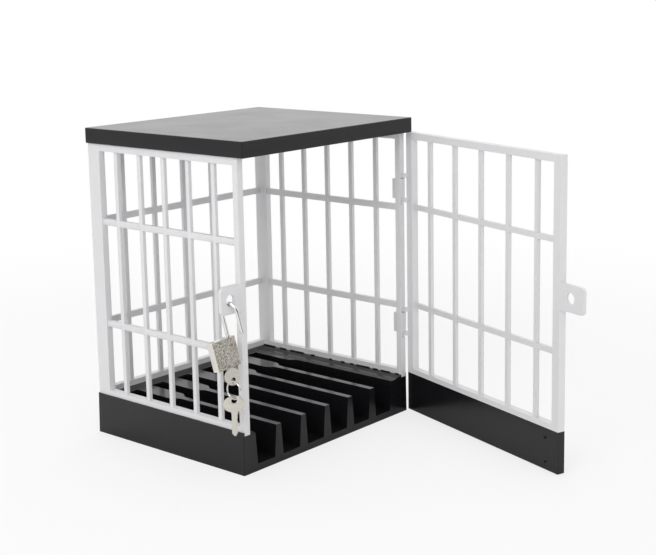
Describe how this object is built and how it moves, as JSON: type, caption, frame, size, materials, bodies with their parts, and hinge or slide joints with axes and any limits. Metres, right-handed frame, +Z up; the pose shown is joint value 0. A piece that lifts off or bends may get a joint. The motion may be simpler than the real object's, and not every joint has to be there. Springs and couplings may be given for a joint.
{
  "type": "lockable phone cage",
  "caption": "Small barred cage with a slotted base for standing phones, a solid lid, a side-hinged barred door with a locking tab, and an open key padlock hung on a lug.",
  "frame": {"origin": "centre of the base tray's underside, where the box stands on a table", "axes": "+Z up, -Y out of the door opening, +X towards the hinge side; the door stands open towards -Y"},
  "size_m": [0.1893, 0.3056, 0.205],
  "materials": {
    "black_plastic": "fine satin moulded black plastic",
    "white_plastic": "smooth semi-gloss moulded white plastic",
    "lock_casting": "hammered warm grey cast metal with polished edges",
    "chrome_wire": "bright plated wire",
    "plated_steel": "nickel plated steel, tumbled",
    "brass": "turned brass"
  },
  "bodies": {
    "cage": {"base_tray": "black_plastic", "lid": "black_plastic", "left_panel": "white_plastic", "right_panel": "white_plastic", "back_panel": "white_plastic", "hinge_block_lower": "white_plastic", "hinge_block_upper": "white_plastic", "hinge_pin_lower": "plated_steel", "hinge_pin_upper": "plated_steel"},
    "door": {"door_panel": "white_plastic", "door_kick_board": "black_plastic"},
    "shackle_wire": {"shackle": "chrome_wire"},
    "leg_spring": {"shackle_spring": "plated_steel"},
    "lock_case": {"padlock_body": "lock_casting", "latch_spring": "plated_steel", "plug_retaining_pin": "plated_steel", "driver_pins": "brass", "pin_springs": "plated_steel", "chamber_plugs": "brass"},
    "latch": {"shackle_latch": "plated_steel"},
    "plug": {"lock_plug": "brass", "key_pins": "brass", "key_in_lock": "plated_steel"},
    "ring": {"key_ring": "chrome_wire"},
    "spare": {"spare_key": "plated_steel"}
  },
  "joints": [
    {"name": "door_swing", "type": "hinge", "parent": "cage", "child": "door", "pos_m": [0.0796, -0.06438, 0.11], "axis": [0, 0, 1], "range_deg": [-70.5, 95]},
    {"name": "padlock_swing", "type": "hinge", "parent": "cage", "child": "shackle_wire", "pos_m": [-0.08851, -0.0671, 0.10912], "axis": [0, 1, 0], "range_deg": [-3, 30]},
    {"name": "shackle_turn", "type": "hinge", "parent": "shackle_wire", "child": "leg_spring", "pos_m": [-0.08745, -0.06432, 0.08845], "axis": [0.1041, -0.1979, -0.9747], "range_deg": [-110.2, 45]},
    {"name": "shackle_slide", "type": "slide", "parent": "leg_spring", "child": "lock_case", "axis": [0.1041, -0.1979, -0.9747], "range_m": [-0.0065, 0], "deforming": ["shackle_spring"]},
    {"name": "plug_turn", "type": "hinge", "parent": "lock_case", "child": "plug", "pos_m": [-0.08998, -0.06702, 0.07047], "axis": [-0.1041, 0.1979, 0.9747], "range_deg": [0, 90]},
    {"name": "latch_slide", "type": "slide", "parent": "lock_case", "child": "latch", "axis": [0.9731, -0.1821, 0.1409], "range_m": [0, 0.001], "deforming": ["latch_spring"]},
    {"name": "key_ring_swing", "type": "hinge", "parent": "plug", "child": "ring", "pos_m": [-0.08834, -0.06879, 0.06169], "axis": [0, 1, 0], "range_deg": [-14, 20]},
    {"name": "spare_key_swing", "type": "hinge", "parent": "ring", "child": "spare", "pos_m": [-0.08834, -0.06879, 0.05079], "axis": [0, 1, 0], "range_deg": [-20, 25]}
  ],
  "couplings": [
    {"joint": "latch_slide", "follows": "plug_turn", "m_per_rad": 0.00063598}
  ]
}
